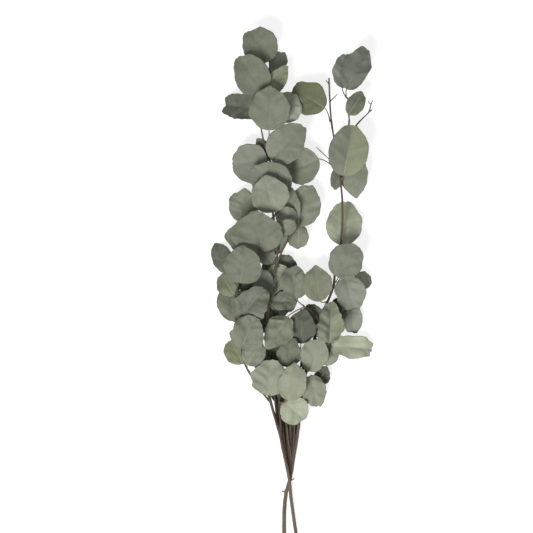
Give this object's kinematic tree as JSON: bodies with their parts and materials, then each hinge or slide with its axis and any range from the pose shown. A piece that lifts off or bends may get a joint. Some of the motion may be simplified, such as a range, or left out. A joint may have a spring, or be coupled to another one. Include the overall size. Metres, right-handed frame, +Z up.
{
  "type": "eucalyptus branch",
  "caption": "Cut spray of silver-dollar eucalyptus lying flat: two crossing woody stems with forked side twigs and round grey-green leaves on thin stalks.",
  "frame": {"origin": "middle of the spray's footprint, on the surface that it lies on", "axes": "+Y from the cut ends to the tips, +X to the right as seen from above with the tips away from the viewer, +Z up from the surface"},
  "size_m": [0.244, 0.7776, 0.0666],
  "materials": {
    "bark": "matte, dry bark, tan to dark brown",
    "leaf_sage": "matte, waxy grey-green",
    "leaf_olive": "matte, olive green",
    "leaf_grey": "matte, bluish grey",
    "leaf_pale": "matte, pale grey-green"
  },
  "bodies": {
    "root": {"stem_left": "bark", "stem_right": "bark", "leaf_left_01": "leaf_sage", "leaf_left_02": "leaf_sage", "leaf_left_03": "leaf_sage", "leaf_left_04": "leaf_olive", "leaf_left_05": "leaf_grey", "leaf_left_06": "leaf_sage", "leaf_left_07": "leaf_sage", "leaf_left_08": "leaf_grey", "leaf_left_09": "leaf_sage", "leaf_left_10": "leaf_sage", "leaf_left_11": "leaf_sage", "leaf_left_12": "leaf_sage", "leaf_left_13": "leaf_sage", "leaf_left_14": "leaf_sage", "leaf_left_15": "leaf_sage", "leaf_left_16": "leaf_sage", "leaf_left_17": "leaf_sage", "leaf_left_18": "leaf_sage", "leaf_left_19": "leaf_sage", "leaf_left_20": "leaf_sage", "leaf_left_21": "leaf_sage", "leaf_left_22": "leaf_sage", "leaf_left_23": "leaf_sage", "leaf_left_24": "leaf_olive", "leaf_left_25": "leaf_grey", "leaf_left_26": "leaf_sage", "leaf_left_27": "leaf_sage", "leaf_left_28": "leaf_sage", "leaf_left_29": "leaf_olive", "leaf_left_30": "leaf_sage", "leaf_left_31": "leaf_sage", "leaf_left_32": "leaf_sage", "leaf_left_33": "leaf_sage", "leaf_left_34": "leaf_sage", "leaf_left_35": "leaf_sage", "leaf_low_01": "leaf_grey", "leaf_low_02": "leaf_pale", "leaf_low_03": "leaf_pale", "leaf_low_04": "leaf_pale", "leaf_low_05": "leaf_pale", "leaf_low_06": "leaf_pale", "leaf_low_07": "leaf_pale", "leaf_low_08": "leaf_pale", "leaf_right_01": "leaf_grey", "leaf_right_02": "leaf_grey", "leaf_right_03": "leaf_sage", "leaf_right_04": "leaf_olive", "leaf_right_05": "leaf_sage", "leaf_right_06": "leaf_sage", "leaf_right_07": "leaf_sage", "leaf_right_08": "leaf_sage", "leaf_right_09": "leaf_grey", "leaf_right_10": "leaf_grey", "leaf_right_11": "leaf_grey", "leaf_right_12": "leaf_olive", "leaf_right_13": "leaf_sage", "leaf_right_14": "leaf_grey", "leaf_right_15": "leaf_sage"}
  },
  "joints": []
}
